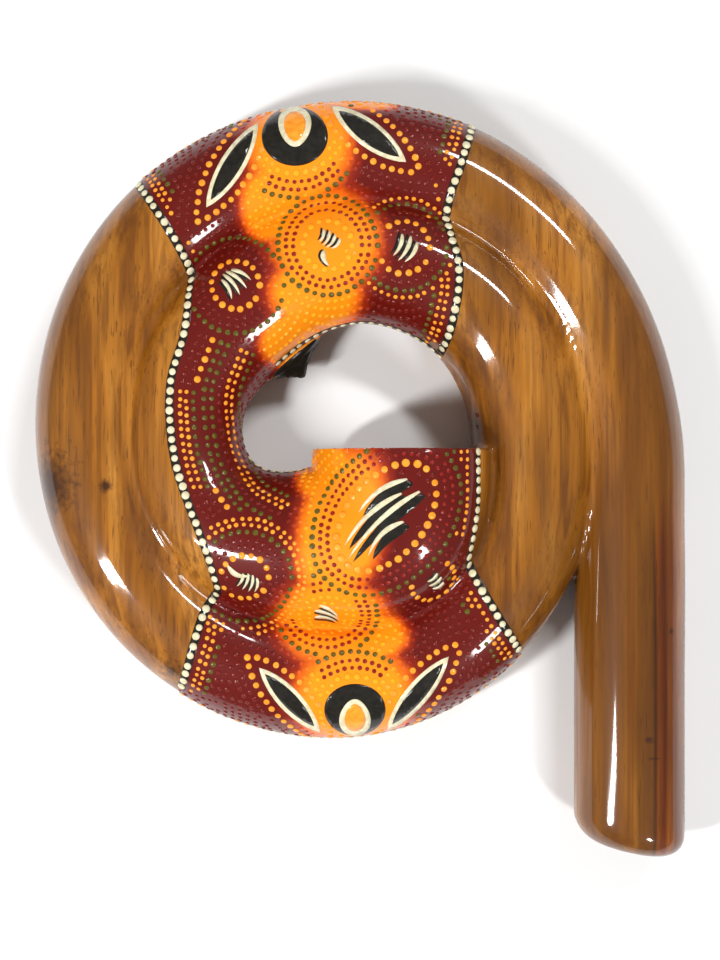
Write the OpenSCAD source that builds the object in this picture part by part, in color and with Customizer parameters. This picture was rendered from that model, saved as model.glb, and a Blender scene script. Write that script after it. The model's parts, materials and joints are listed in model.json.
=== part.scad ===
// Coiled travel didgeridoo, carved from two glued halves of hardwood.
// It lies on its flat back: +Z is the painted front, -Y is the way the straight leg
// and the mouthpiece point, and the origin is under the middle of the whole body.
// The air column runs from the mouth up the leg, round a turn and a half of spiral,
// and through a U-turn into the bell, which opens towards +Y in the middle.

/* [Spiral] */
// Radius of the first arc, where the straight leg runs into the coil
first_arc_r = 158; // [154:1:162]
// How much the coil tightens after each of four eighths, and again on the far side
tighten = [14, 8, 0.5, 0.5]; // [0.5:0.5:14]
// Length of the straight leg, from the mouth to the start of the coil
leg_length = 212; // [200:1:225]

/* [Outside of the tube] */
// Outer radius of the straight leg
leg_r = 29; // [28.5:0.1:29.2]
// Length of the leg's lower stretch, which a clamp can hold
grip_length = 110; // [80:1:120]
// Outer radius of the leg above that stretch
leg_top_r = 29.5; // [29.3:0.1:29.8]
// Outer radius where the coil starts
coil_start_r = 30; // [29:0.5:31]
// Outer radius where the coil runs into the U-turn
coil_end_r = 34; // [33:0.5:35]
// Depth of the back half, from the glue line to the flat back
back_depth = 28; // [27:0.5:28]
// Radius of the rounded edge at the mouth
mouth_edge_r = 11; // [6:1:12]

/* [U-turn and bell] */
// Centreline radius of the wide half of the U-turn
uturn_wide_r = 66; // [64:1:68]
// Centreline radius of the tight half of the U-turn, up to the bell rim
uturn_tight_r = 51.5; // [50:0.5:53]
// Outer radius at the bottom of the U-turn
uturn_tube_r = 40; // [38:0.5:41]
// Outer radius of the bell at its rim
bell_r = 47; // [45:0.5:48]
// How far the bell's axis stands in front of the glue line
bell_rise = 12; // [11:0.5:14]
// Radius of the rounded heel where the U-turn bends up into the bell
heel_r = 42; // [40:0.5:43]

/* [Bore] */
// Radius of the bore at the mouth
mouth_bore_r = 15; // [14:0.5:16]
// Straight stretch of the mouth bore
mouth_bore_length = 60; // [40:1:80]
// Radius of the bore in the upper half of the leg
leg_bore_r = 17; // [16:0.5:17.5]
// Length of the widening between the two straight stretches of the leg's bore
leg_taper_length = 60; // [40:1:80]
// Radius of the bore where the coil starts
coil_bore_start_r = 17.5; // [17:0.5:18]
// Radius of the bore where the coil ends
coil_bore_end_r = 23; // [22:0.5:23]
// Radius of the bore at the bottom of the U-turn
uturn_bore_r = 30; // [28:0.5:31]
// Radius of the bore where the U-turn runs into the bell
throat_r = 34; // [32:0.5:34]
// Radius of the bell's bore
bell_bore_r = 36; // [35:0.5:37]
// Straight stretch of the bell's bore
bell_bore_length = 18; // [14:1:20]

/* [Web in the hole] */
// Radius of the round cut that opens the inside of the U-turn
small_cut_r = 26; // [25:0.5:27]
// Radius of the round cut beside it, which leaves the pointed web between them
large_cut_r = 29; // [28:0.5:30]
// Thickness of the pointed web
web_thickness = 18; // [14:1:20]
// Wood left between the web's root and the bore
web_into_wall = 3; // [2:0.5:4]

/* [Joint] */
// Thickness of the glue line between the two halves
glue_thickness = 0.2; // [0.1:0.1:0.3]

/* [Hidden] */
$fn = 96;

eighth = 45;
coil_sectors = 12;
turn_sectors = 8;
uturn_sectors = 12;
uturn_step = 180 / uturn_sectors;
half_uturn = uturn_sectors / 2;
tall = 200;
margin = 1;
overlap = 0.05;

// Tightening at the end of sector k, and the direction in which the centre moves there
function tighten_at(k) = tighten[k % 4];
function toward(angle) = [cos(angle), sin(angle)];

// Centre and radius of the coil's sector k, in the coil's own axes
function centre_of(k) = k == 0 ? [0, 0]
    : centre_of(k - 1) + tighten_at(k - 1) * toward(eighth * k);
function arc_r_of(k) = k == 0 ? first_arc_r : arc_r_of(k - 1) - tighten_at(k - 1);

// Tube and bore radius at the middle of sector k
function blend(a, b, t) = a + (b - a) * t;
function tube_r_of(k) = blend(coil_start_r, coil_end_r, (k + 0.5) / coil_sectors);
function bore_r_of(k) = blend(coil_bore_start_r, coil_bore_end_r, (k + 0.5) / coil_sectors);

// U-turn: its two centres, and its tube, bore and rise at step j
coil_end_centre = centre_of(coil_sectors);
coil_end_r_arc = arc_r_of(coil_sectors);
wide_centre = coil_end_centre - [coil_end_r_arc - uturn_wide_r, 0];
tight_centre = wide_centre - [0, uturn_wide_r - uturn_tight_r];
function uturn_centre(j) = j < half_uturn ? wide_centre : tight_centre;
function uturn_arc_r(j) = j < half_uturn ? uturn_wide_r : uturn_tight_r;
function uturn_rise(j) = bell_rise * (j + 1) / uturn_sectors;
function uturn_grow(a, b, c, j) = j < half_uturn
    ? blend(a, b, (j + 1) / half_uturn)
    : blend(b, c, (j + 1 - half_uturn) / half_uturn);
function uturn_tube_of(j) = uturn_grow(coil_end_r, uturn_tube_r, bell_r, j);
function uturn_bore_of(j) = uturn_grow(coil_bore_end_r, uturn_bore_r, throat_r, j);
bell_centre = tight_centre + [uturn_tight_r, 0];
heel_from_bell = [-6, -44];
heel_at = bell_centre + heel_from_bell;
heel_rise = 9;
heel_next_to = [5, 6];

// Web: the two round cuts in the middle, and the disc between them that they leave
small_cut_at = wide_centre + [-6, -2];
large_cut_at = small_cut_at + [37.5, 26];
web_disc_at = small_cut_at + [-9, 40];
web_disc_r = 25;
web_sector = 11;
web_reach_r = arc_r_of(web_sector) - bore_r_of(web_sector) - web_into_wall;

// Place of the coil's first centre, so that the origin is under the middle of the box
left_edge = centre_of(4)[0] - arc_r_of(4) - tube_r_of(4);
right_edge = first_arc_r + tube_r_of(0);
top_edge = centre_of(2)[1] + arc_r_of(2) + tube_r_of(2);
bottom_edge = -leg_length;
shift = -[left_edge + right_edge, top_edge + bottom_edge] / 2;

// A slab of the profile plane between two heights
module slab2d(z0, z1)
    translate([-margin, z0]) square([tall + margin, z1 - z0]);

// Cross-section of the coil in sector k: one tube, or two side by side
module coil_profile(k, z0, z1) {
    turns = k + turn_sectors < coil_sectors ? [k, k + turn_sectors] : [k];
    intersection() {
        difference() {
            union() for (t = turns) translate([arc_r_of(t), 0]) circle(tube_r_of(t));
            for (t = turns) translate([arc_r_of(t), 0]) circle(bore_r_of(t));
        }
        slab2d(z0, z1);
    }
}

module sector(centre, from, span)
    translate([centre[0], centre[1], 0])
        rotate_extrude(angle = span, start = from) children();

module coil(k, z0, z1)
    sector(centre_of(k), eighth * k, eighth + overlap) coil_profile(k, z0, z1);

module coil_bore(k)
    sector(centre_of(k), eighth * k, eighth)
        translate([arc_r_of(k), 0]) circle(bore_r_of(k));

// The straight leg with its rounded mouth, before the bore is made
module leg_outside()
    translate([first_arc_r, -leg_length, 0]) rotate([-90, 0, 0])
        rotate_extrude() {
            square([leg_r - mouth_edge_r, leg_length]);
            translate([0, mouth_edge_r]) square([leg_r, leg_length - mouth_edge_r]);
            translate([0, grip_length]) square([leg_top_r, leg_length - grip_length]);
            intersection() {
                translate([leg_r - mouth_edge_r, mouth_edge_r]) circle(mouth_edge_r);
                square([leg_r, mouth_edge_r]);
            }
        }

// The leg's bore: straight at the mouth, widening, and straight again beside the coil
module leg_bore_low()
    translate([first_arc_r, -leg_length, 0]) rotate([-90, 0, 0]) {
        translate([0, 0, -margin])
            cylinder(r = mouth_bore_r, h = mouth_bore_length + margin);
        translate([0, 0, mouth_bore_length])
            cylinder(r1 = mouth_bore_r, r2 = leg_bore_r, h = leg_taper_length);
    }

module leg_bore_high()
    translate([first_arc_r, margin, 0]) rotate([90, 0, 0])
        cylinder(r = leg_bore_r,
                 h = leg_length - mouth_bore_length - leg_taper_length + margin);

module slab(z0, z1)
    translate([-tall * 2, -tall * 2, z0]) cube([tall * 4, tall * 4, z1 - z0]);

module leg(z0, z1)
    difference() {
        intersection() {
            leg_outside();
            slab(z0, z1);
        }
        leg_bore_low();
        leg_bore_high();
        coil_bore(turn_sectors - 1);
    }

module uturn(j, z0, z1)
    sector(uturn_centre(j), 180 + uturn_step * j, uturn_step)
        intersection() {
            translate([uturn_arc_r(j), uturn_rise(j)])
                difference() {
                    circle(uturn_tube_of(j));
                    circle(uturn_bore_of(j));
                }
            slab2d(z0, z1);
        }

module uturn_bore(j)
    sector(uturn_centre(j), 180 + uturn_step * j, uturn_step)
        translate([uturn_arc_r(j), uturn_rise(j)]) circle(uturn_bore_of(j));

// The heel: a ball of wood outside the bend below the bell
module heel(z0, z1)
    difference() {
        intersection() {
            translate([heel_at[0], heel_at[1], heel_rise]) sphere(heel_r);
            slab(z0, z1);
        }
        for (j = [half_uturn - 1:uturn_sectors - 1]) uturn_bore(j);
        for (k = heel_next_to) coil_bore(k);
    }

module bell_bore()
    translate([bell_centre[0], bell_centre[1] + margin, bell_rise]) rotate([90, 0, 0])
        cylinder(r = bell_bore_r, h = bell_bore_length + margin);

module web_outline()
    difference() {
        intersection() {
            translate(web_disc_at) circle(web_disc_r);
            translate(centre_of(web_sector)) circle(web_reach_r);
        }
        translate(small_cut_at) circle(small_cut_r);
        translate(large_cut_at) circle(large_cut_r);
    }

module web(z0, z1)
    intersection() {
        translate([0, 0, -web_thickness / 2]) linear_extrude(web_thickness) web_outline();
        slab(z0, z1);
    }

// Everything between two heights, which is one half of the body
module body_between(z0, z1)
    translate([shift[0], shift[1], back_depth]) {
        leg(z0, z1);
        for (k = [0:turn_sectors - 2]) coil(k, z0, z1);
        difference() {
            coil(turn_sectors - 1, z0, z1);
            leg_bore_high();
        }
        difference() {
            for (j = [0:uturn_sectors - 1]) uturn(j, z0, z1);
            bell_bore();
        }
        heel(z0, z1);
        web(z0, z1);
    }

module front_half()
    color("sienna") body_between(glue_thickness / 2, tall / 2);

module back_half()
    color("saddlebrown") body_between(-back_depth, -glue_thickness / 2);

// The glue line is the body's outline at mid-height, as a flat film
module annulus(arc, half_width)
    difference() {
        circle(arc + half_width);
        circle(arc - half_width);
    }

module wedge(from, span) {
    far = 2 * tall;
    polygon([[0, 0], far * toward(from), far * toward(from + span / 2),
             far * toward(from + span)]);
}

module coil_outline(k) {
    turns = k + turn_sectors < coil_sectors ? [k, k + turn_sectors] : [k];
    translate(centre_of(k)) intersection() {
        difference() {
            union() for (t = turns) annulus(arc_r_of(t), tube_r_of(t));
            for (t = turns) annulus(arc_r_of(t), bore_r_of(t));
        }
        wedge(eighth * k, eighth + overlap);
    }
}

module coil_bore_outline(k)
    translate(centre_of(k)) intersection() {
        annulus(arc_r_of(k), bore_r_of(k));
        wedge(eighth * k, eighth + overlap);
    }

module leg_bore_outline()
    translate([first_arc_r, -leg_length]) {
        for (side = [-1, 1]) scale([side, 1])
            polygon([[0, -margin], [mouth_bore_r, -margin],
                     [mouth_bore_r, mouth_bore_length],
                     [leg_bore_r, mouth_bore_length + leg_taper_length],
                     [leg_bore_r, leg_length + margin], [0, leg_length + margin]]);
    }

module leg_outline()
    difference() {
        translate([first_arc_r, -leg_length]) {
            translate([-leg_r, mouth_edge_r])
                square([2 * leg_r, leg_length - mouth_edge_r]);
            translate([-leg_top_r, grip_length])
                square([2 * leg_top_r, leg_length - grip_length]);
            translate([mouth_edge_r - leg_r, 0])
                square([2 * (leg_r - mouth_edge_r), mouth_edge_r]);
        }
        leg_bore_outline();
        coil_bore_outline(turn_sectors - 1);
    }

// Half-width at mid-height of a circle whose centre stands above it
function half_width(r, rise) = sqrt(r * r - rise * rise);

module uturn_outline(j)
    translate(uturn_centre(j)) intersection() {
        difference() {
            annulus(uturn_arc_r(j), half_width(uturn_tube_of(j), uturn_rise(j)));
            annulus(uturn_arc_r(j), half_width(uturn_bore_of(j), uturn_rise(j)));
        }
        wedge(180 + uturn_step * j, uturn_step);
    }

module bell_bore_outline() {
    across = half_width(bell_bore_r, bell_rise);
    translate(bell_centre + [-across, -bell_bore_length])
        square([2 * across, bell_bore_length + margin]);
}

module glue_line()
    color("khaki")
        translate([shift[0], shift[1], back_depth - glue_thickness / 2])
            linear_extrude(glue_thickness) {
                leg_outline();
                for (k = [0:turn_sectors - 2]) coil_outline(k);
                difference() {
                    coil_outline(turn_sectors - 1);
                    leg_bore_outline();
                }
                difference() {
                    for (j = [0:uturn_sectors - 1]) uturn_outline(j);
                    bell_bore_outline();
                }
                web_outline();
            }

front_half();
back_half();
glue_line();
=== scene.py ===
"""Looks of the coiled travel didgeridoo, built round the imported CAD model.

The wood is a tube that is swept along one centreline, grows towards the bell and melts
into its own neighbouring turns. It is cut at mid-height into the two glued halves. The
painted band, its border lines and its raised dots lie on that surface.
Lengths are in millimetres until a mesh is made, with the glue line at height MID.
"""
import json
import math
import random

import bmesh
import bpy
import numpy as np
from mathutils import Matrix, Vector
from mathutils.bvhtree import BVHTree
from mathutils.geometry import delaunay_2d_cdt


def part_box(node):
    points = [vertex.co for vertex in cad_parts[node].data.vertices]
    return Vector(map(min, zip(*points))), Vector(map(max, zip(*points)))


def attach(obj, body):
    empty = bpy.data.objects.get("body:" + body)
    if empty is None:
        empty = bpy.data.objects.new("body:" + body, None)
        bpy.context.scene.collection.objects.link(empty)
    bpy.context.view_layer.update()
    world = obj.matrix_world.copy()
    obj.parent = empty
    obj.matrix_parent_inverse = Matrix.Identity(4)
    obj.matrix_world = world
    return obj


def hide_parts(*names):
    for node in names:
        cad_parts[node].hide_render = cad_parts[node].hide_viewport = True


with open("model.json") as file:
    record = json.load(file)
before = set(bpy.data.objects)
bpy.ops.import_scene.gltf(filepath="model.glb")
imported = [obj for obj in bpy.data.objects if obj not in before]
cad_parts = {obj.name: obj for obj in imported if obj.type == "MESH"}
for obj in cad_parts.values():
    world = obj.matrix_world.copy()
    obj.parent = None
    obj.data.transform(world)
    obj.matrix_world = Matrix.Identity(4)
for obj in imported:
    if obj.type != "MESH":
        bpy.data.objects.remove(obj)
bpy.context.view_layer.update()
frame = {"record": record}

MM = 0.001
mounts = {m["name"]: m for m in frame["record"]["mounts"]}


def mount_mm(name):
    """A mount's place in millimetres."""
    return [1000 * v for v in mounts[name]["pos_m"]]


LEG_X, MOUTH_Y, MID = mount_mm("mouth_bore")
MOUTH_BORE_R = mounts["mouth_bore"]["dims"]["r_mm"]
LEG_R = 29.0
BELL_X, RIM_Y, BELL_RISE = 22.0, 16.0, 12.0
BELL_R = 1000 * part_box("front_half")[1].z - MID - BELL_RISE
BELL_BORE_R = 36.0
EYE_HEIGHT = 850.0

# ---------------------------------------------------------------- the wooden tube

# The centreline from the mouth to the bell: x, y, rise above the glue line, outer radius
CENTRELINE = [
    (LEG_X, MOUTH_Y, 0, LEG_R),
    (LEG_X, -110, 0, LEG_R),
    (LEG_X, -30, 0, LEG_R),
    (140.5, 29, 0, LEG_R),
    (128.5, 74, 0, 29.0),
    (97.5, 123, 0, 29.3),
    (46, 160, 0, 29.5),
    (0.5, 170, 0, 29.5),
    (-54.5, 160.5, 0, 29.8),
    (-100, 131.5, 0, 30),
    (-132, 81.5, 0, 30.3),
    (-141, 28, 0, 30.5),
    (-129.5, -26, 0, 31),
    (-100.5, -68.5, 0, 31),
    (-52, -98, 0, 31.5),
    (-2.5, -103, 0, 32),
    (37.5, -89.5, 0, 32),
    (68, -62, 0, 32.5),
    (87, -25, 0, 33),
    (92.5, 20, 0, 33.5),
    (84, 59.5, 0, 33.5),
    (63, 91.5, 0, 33.5),
    (31, 111, 0, 33.5),
    (0.5, 116.5, 0, 33.5),
    (-30, 110, 0, 33.5),
    (-62, 90, 0, 33.5),
    (-86, 62, 0, 33.5),
    (-95.5, 29, 0, 33),
    (-92, 4, 1, 33.5),
    (-80.5, -16, 2, 35),
    (-60, -31, 4, 37.5),
    (-38, -36, 6, 40),
    (-14, -34.5, 8, 42.5),
    (8, -30.5, 10, 45),
    (19.5, -21, 11, 46),
    (BELL_X, -5, BELL_RISE, 46.5),
    (BELL_X, RIM_Y, BELL_RISE, BELL_R),
]
BORE_WALL_AT_MOUTH = LEG_R - MOUTH_BORE_R
BORE_WALL_AT_BELL = BELL_R - BELL_BORE_R
# Where one stretch of the tube ends and the next starts, as numbers in CENTRELINE
STRETCHES = [0, 8, 14, 20, 25, 31, 36]
MELT = 3.0
GLUE = 0.3
# What the triangulation keeps: all inside the outline, or that without the holes
CDT_INSIDE, CDT_INSIDE_WITH_HOLES = 1, 2
MOUTH_EDGE = 13.0
MOUTH_SLANT = math.radians(11)
MOUTH_SET_BACK = 4.0
RIM_EDGE = 1.2
SAMPLE_STEP = 3.0
CELL = 2.0
# Relaxing: how far a vertex goes to its neighbours' middle, and how much further back
RELAX_SHARE, RELAX_BACK, RELAX_PASSES = 0.5, 1.04, 4


def spline(points, step):
    """A smooth curve through the points, sampled about every step millimetres.
    Returns the samples and, for each given point, the sample that it became."""
    p = np.array(points, float)
    chord = np.linalg.norm(np.diff(p[:, :3], axis=0), axis=1)
    t = np.concatenate([[0], np.cumsum(chord)])
    slope = np.gradient(p, t, axis=0)
    samples, marks = [p[0]], [0]
    for i in range(len(p) - 1):
        n = max(int(chord[i] / step), 1)
        h = t[i + 1] - t[i]
        for u in np.linspace(0, 1, n + 1)[1:]:
            a, b = 2 * u**3 - 3 * u**2 + 1, u**3 - 2 * u**2 + u
            c, d = 3 * u**2 - 2 * u**3, u**3 - u**2
            samples.append(a * p[i] + b * h * slope[i] + c * p[i + 1] + d * h * slope[i + 1])
        marks.append(len(samples) - 1)
    return np.array(samples), marks


tube, tube_marks = spline(CENTRELINE, SAMPLE_STEP)
tube[:, 2] += MID
tube_length = np.concatenate(
    [[0], np.cumsum(np.linalg.norm(np.diff(tube[:, :3], axis=0), axis=1))]
)
bore = tube.copy()
bore[:, 3] -= np.interp(
    tube_length,
    [0, tube_length[tube_marks[27]], tube_length[-1]],
    [BORE_WALL_AT_MOUTH, 10.0, BORE_WALL_AT_BELL],
)
bore_tail = tube[0] - np.array([0, 20, 0, 0])
bore_tail[3] = MOUTH_BORE_R
bore_head = tube[-1] + np.array([0, 20, 0, 0])
bore_head[3] = BELL_BORE_R
bore[0, 3] = MOUTH_BORE_R
bore[-1, 3] = BELL_BORE_R
bore = np.vstack([bore_tail, bore, bore_head])


class Grid:
    """A box of points, CELL apart, on which distances are kept."""

    def __init__(self, low, high):
        self.axes = [np.arange(a, b + CELL, CELL) for a, b in zip(low, high)]
        self.shape = tuple(len(a) for a in self.axes)
        self.low = np.array(low, float)

    def open(self):
        x, y, z = self.axes
        return x[:, None, None], y[None, :, None], z[None, None, :]

    def sweep(self, samples):
        """Distance to a ball that is swept along the samples and changes size on the way."""
        field = np.full(self.shape, 1e3, np.float32)
        for a, b in zip(samples[:-1], samples[1:]):
            big = max(a[3], b[3]) + 3 * CELL
            cut = []
            for axis, lo, hi in zip(self.axes, np.minimum(a, b)[:3], np.maximum(a, b)[:3]):
                cut.append(slice(*np.searchsorted(axis, (lo - big, hi + big))))
            x = self.axes[0][cut[0]][:, None, None] - a[0]
            y = self.axes[1][cut[1]][None, :, None] - a[1]
            z = self.axes[2][cut[2]][None, None, :] - a[2]
            d = b - a
            t = np.clip((x * d[0] + y * d[1] + z * d[2]) / (d[:3] @ d[:3]), 0, 1)
            away = np.sqrt((x - t * d[0]) ** 2 + (y - t * d[1]) ** 2 + (z - t * d[2]) ** 2)
            view = field[cut[0], cut[1], cut[2]]
            np.minimum(view, away - a[3] - t * d[3], out=view)
        return field


def melt(a, b, k):
    """The nearer of two distances, with a fillet of size k where they meet."""
    h = np.clip(0.5 + 0.5 * (b - a) / k, 0, 1)
    return b + (a - b) * h - k * h * (1 - h)


def trim(a, b, k):
    """Keeps what lies inside both, with an edge rounded by k."""
    return -melt(-a, -b, k)


def leg_end(grid):
    """The straight leg near the mouth: a cylinder whose slanted end is well rounded."""
    x, y, z = grid.open()
    slanted = (MOUTH_Y - y) * math.cos(MOUTH_SLANT) - (x - LEG_X) * math.sin(MOUTH_SLANT)
    round_way = np.sqrt((x - LEG_X) ** 2 + (z - MID) ** 2) - LEG_R + MOUTH_EDGE
    end_way = slanted + MOUTH_EDGE + MOUTH_SET_BACK
    outside = np.sqrt(np.maximum(round_way, 0) ** 2 + np.maximum(end_way, 0) ** 2)
    shape = outside + np.minimum(np.maximum(round_way, end_way), 0) - MOUTH_EDGE
    return np.where(y < MOUTH_Y + 60, shape, 1e3)


def pointed_web(grid):
    """The pointed bit of wood that two round cuts leave at the inside of the U-turn."""
    x, y, z = grid.open()

    def disc(cx, cy, r):
        return np.sqrt((x - cx) ** 2 + (y - cy) ** 2) - r

    block = disc(-46, 68, 25)
    block = trim(block, -disc(-37.5, 28.5, 26.5), 1.5)
    block = trim(block, -disc(0.5, 54, 29.5), 1.5)
    sloped = (z - MID - 9) + 0.55 * (disc(-5.5, 31.5, 0) * -1 + 62)
    block = trim(block, sloped, 4.0)
    return trim(block, MID - 12 - z, 4.0)


def wood_fields(grid):
    """Distance to the outer surface and to the bore, over the whole grid."""
    x, y, z = grid.open()
    parts = []
    for i, j in zip(STRETCHES[:-1], STRETCHES[1:]):
        parts.append(grid.sweep(tube[tube_marks[i] : tube_marks[j] + 1]))
    end = leg_end(grid)
    parts[0] = np.where(y < MOUTH_Y + 40, end, parts[0])
    parts[-1] = trim(parts[-1], y - RIM_Y + 0 * parts[-1], RIM_EDGE)
    body = parts[0]
    for part in parts[1:]:
        body = np.minimum(body, part)
    for i in range(len(parts)):
        for j in range(i + 2, len(parts)):
            body = np.minimum(body, melt(parts[i], parts[j], MELT))
    body = melt(body, pointed_web(grid), 5.0)
    body = trim(body, -z + 0 * body, 2.5)
    return body, grid.sweep(bore)


def surface_net(field, grid):
    """Vertices and four-sided faces of the surface where the field is zero."""
    inside = field < 0
    corners = [(i, j, k) for i in (0, 1) for j in (0, 1) for k in (0, 1)]
    nx, ny, nz = (n - 1 for n in field.shape)

    def at(a, c):
        return a[c[0] : c[0] + nx, c[1] : c[1] + ny, c[2] : c[2] + nz]

    count = sum(at(inside, c).astype(np.int8) for c in corners)
    mixed = (count > 0) & (count < 8)
    where = np.argwhere(mixed)
    number = np.full(mixed.shape, -1, np.int64)
    number[tuple(where.T)] = np.arange(len(where))
    total = np.zeros((len(where), 3))
    hits = np.zeros(len(where))
    for c in corners:
        for axis in range(3):
            if c[axis]:
                continue
            d = list(c)
            d[axis] = 1
            va = field[tuple((where + c).T)]
            vb = field[tuple((where + d).T)]
            cross = (va < 0) != (vb < 0)
            share = va[cross] / (va[cross] - vb[cross])
            point = np.tile(np.array(c, float), (cross.sum(), 1))
            point[:, axis] += share
            total[cross] += point
            hits[cross] += 1
    verts = grid.low + (where + total / hits[:, None]) * CELL
    faces = []
    for axis in range(3):
        u, v = [a for a in range(3) if a != axis]
        step = [0, 0, 0]
        step[axis] = 1
        lo = inside[tuple(slice(0, n - s) for n, s in zip(inside.shape, step))]
        hi = inside[tuple(slice(s, n) for n, s in zip(inside.shape, step))]
        for edge, flip in ((np.argwhere(lo & ~hi), False), (np.argwhere(hi & ~lo), True)):
            edge = edge[(edge[:, u] > 0) & (edge[:, v] > 0)]
            ring = []
            for du, dv in ((1, 1), (0, 1), (0, 0), (1, 0)):
                cell = edge.copy()
                cell[:, u] -= du
                cell[:, v] -= dv
                ring.append(number[tuple(cell.T)])
            quad = np.stack(ring, axis=1)
            faces.append(quad[:, ::-1] if flip ^ (axis == 1) else quad)
    return verts, np.concatenate(faces)


def relax(verts, faces):
    """Evens the vertices out a little without shrinking the shape much."""
    pairs = np.concatenate([faces[:, [i, (i + 1) % 4]] for i in range(4)])
    for share in (RELAX_SHARE, -RELAX_SHARE * RELAX_BACK) * RELAX_PASSES:
        total = np.zeros_like(verts)
        hits = np.zeros(len(verts))
        for a, b in ((0, 1), (1, 0)):
            for axis in range(3):
                total[:, axis] += np.bincount(
                    pairs[:, a], verts[pairs[:, b], axis], minlength=len(verts)
                )
            hits += np.bincount(pairs[:, a], minlength=len(verts))
        verts = verts + share * (total / hits[:, None] - verts)
    return verts


def linked(name, data):
    """A new object of the scene with this mesh, lamp or camera."""
    obj = bpy.data.objects.new(name, data)
    bpy.context.scene.collection.objects.link(obj)
    return obj


def new_mesh(name, verts_mm, faces, smooth=True):
    mesh = bpy.data.meshes.new(name)
    mesh.from_pydata((np.asarray(verts_mm) * MM).tolist(), [], [list(map(int, f)) for f in faces])
    mesh.validate()
    if smooth:
        mesh.polygons.foreach_set("use_smooth", [True] * len(mesh.polygons))
    return linked(name, mesh)


def cap(bm):
    """Closes a flat cut, leaving its holes open."""
    bmesh.ops.remove_doubles(bm, verts=[v for v in bm.verts if v.is_boundary], dist=2e-6)
    rim = [e for e in bm.edges if e.is_boundary]
    verts = list({v for e in rim for v in e.verts})
    number = {v: i for i, v in enumerate(verts)}
    flat = [Vector((v.co.x / MM, v.co.y / MM)) for v in verts]
    edges = [(number[e.verts[0]], number[e.verts[1]]) for e in rim]
    _, _, tris, origins, _, _ = delaunay_2d_cdt(flat, edges, [], CDT_INSIDE_WITH_HOLES, 1e-5)
    for tri in tris:
        corners = [verts[origins[i][0]] for i in tri if origins[i]]
        if len(set(corners)) == 3:
            bm.faces.new(corners).smooth = False


def cut(bm, height, up):
    """Removes what lies below a height (up 1) or above it (up -1), and closes the cut."""
    bmesh.ops.bisect_plane(
        bm,
        geom=bm.verts[:] + bm.edges[:] + bm.faces[:],
        dist=1e-7,
        plane_co=(0, 0, height * MM),
        plane_no=(0, 0, up),
        clear_inner=True,
    )
    cap(bm)


def keep_film(bm):
    """Of the front half, keeps the flat cut face and makes it GLUE thick."""
    top = (MID + GLUE / 2) * MM
    other = [f for f in bm.faces if max(abs(v.co.z - top) for v in f.verts) > 1e-6]
    bmesh.ops.delete(bm, geom=other, context="FACES")
    sheet = bmesh.ops.extrude_face_region(bm, geom=bm.faces[:], use_keep_orig=True)
    moved = [v for v in sheet["geom"] if isinstance(v, bmesh.types.BMVert)]
    bmesh.ops.translate(bm, verts=moved, vec=(0, 0, -GLUE * MM))
    for face in bm.faces:
        face.smooth = False


def made_from(obj, name, change, *settings):
    """A copy of a piece, with its mesh changed by one of the functions above."""
    mesh = obj.data.copy()
    mesh.name = name
    bm = bmesh.new()
    bm.from_mesh(mesh)
    change(bm, *settings)
    bmesh.ops.recalc_face_normals(bm, faces=bm.faces[:])
    bm.to_mesh(mesh)
    bm.free()
    return linked(name, mesh)


grid = Grid((-182, MOUTH_Y - 10, -6), (182, 210, MID + BELL_RISE + BELL_R + 8))
outer_field, bore_field = wood_fields(grid)
wood_verts, wood_faces = surface_net(trim(outer_field, -bore_field, 0.8), grid)
wood_verts = relax(wood_verts, wood_faces)
whole = new_mesh("whole", wood_verts, wood_faces)
front_wood = made_from(whole, "front_wood", cut, MID + GLUE / 2, 1)
back_wood = made_from(whole, "back_wood", cut, MID - GLUE / 2, -1)
glue_film = made_from(front_wood, "glue_film", keep_film)
bpy.data.objects.remove(whole)

# ---------------------------------------------------------------- materials


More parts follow.
